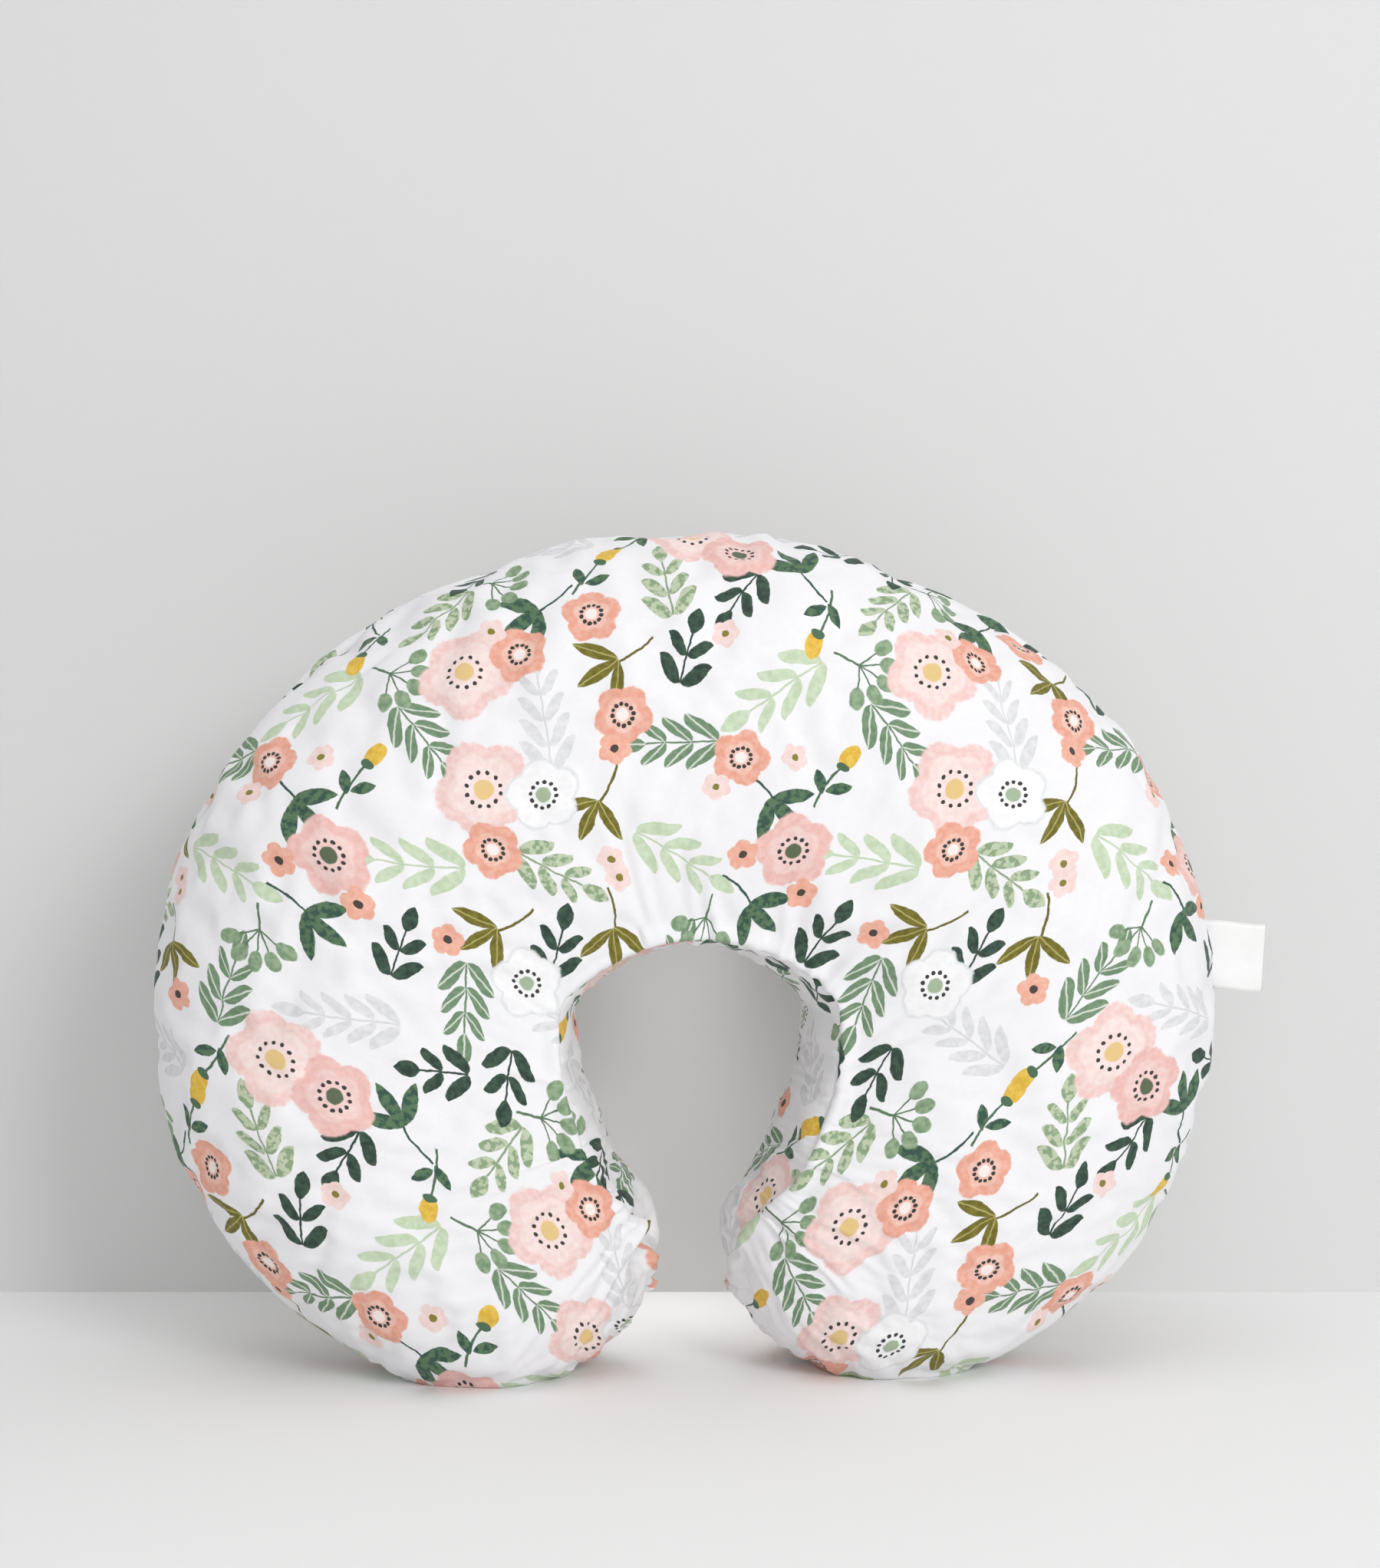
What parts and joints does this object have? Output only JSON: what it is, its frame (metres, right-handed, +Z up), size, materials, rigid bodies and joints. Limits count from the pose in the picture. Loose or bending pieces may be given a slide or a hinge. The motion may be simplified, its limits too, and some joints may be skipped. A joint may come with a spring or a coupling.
{
  "type": "nursing pillow",
  "caption": "C-shaped fibre-filled nursing pillow in a zipped floral slipcover, with a waist opening and a gusseted inner curve.",
  "frame": {"origin": "on the floor, under the middle of the object's box; the side tag reaches out on +X only, so the pillow's own middle plane is 15 mm towards -X from the origin", "axes": "+X towards the side with the tag, along the pillow's width; -Y out of the front panel; +Z up, from the leg tips to the arch"},
  "size_m": [0.5531, 0.1604, 0.412],
  "materials": {
    "printed_cotton": "white brushed cotton with a printed floral pattern",
    "satin_ribbon": "white satin ribbon",
    "zip_tape": "woven white tape",
    "zip_coil": "white nylon coil",
    "zip_metal": "nickel-plated die casting",
    "label_cloth": "white woven label, blank",
    "casing_cloth": "plain off-white cotton blend",
    "fibre": "white polyester fibre"
  },
  "bodies": {
    "pillow": {"cover_front_panel": "printed_cotton", "cover_back_panel": "printed_cotton", "cover_inner_gusset": "printed_cotton", "side_tag": "satin_ribbon", "zip_tape_upper": "zip_tape", "zip_tape_lower": "zip_tape", "zip_chain_upper": "zip_coil", "zip_chain_lower": "zip_coil", "zip_top_stop": "zip_metal", "zip_end_stop": "zip_metal", "cover_care_label": "label_cloth", "casing_label": "label_cloth", "casing_front_panel": "casing_cloth", "casing_back_panel": "casing_cloth", "casing_inner_gusset": "casing_cloth", "fibre_filling": "fibre"},
    "slider": {"zip_slider": "zip_metal"},
    "pull_tab": {"zip_pull_tab": "zip_metal"}
  },
  "joints": [
    {"name": "zip_travel", "type": "hinge", "parent": "pillow", "child": "slider", "pos_m": [-0.015, 0, 0.128], "axis": [0, -1, 0], "range_deg": [0, 65]},
    {"name": "pull_tab_swing", "type": "hinge", "parent": "slider", "child": "pull_tab", "pos_m": [0.13006, 0.04702, 0.35569], "axis": [-0.3402, 0.7741, -0.5339], "range_deg": [0, 165]}
  ]
}
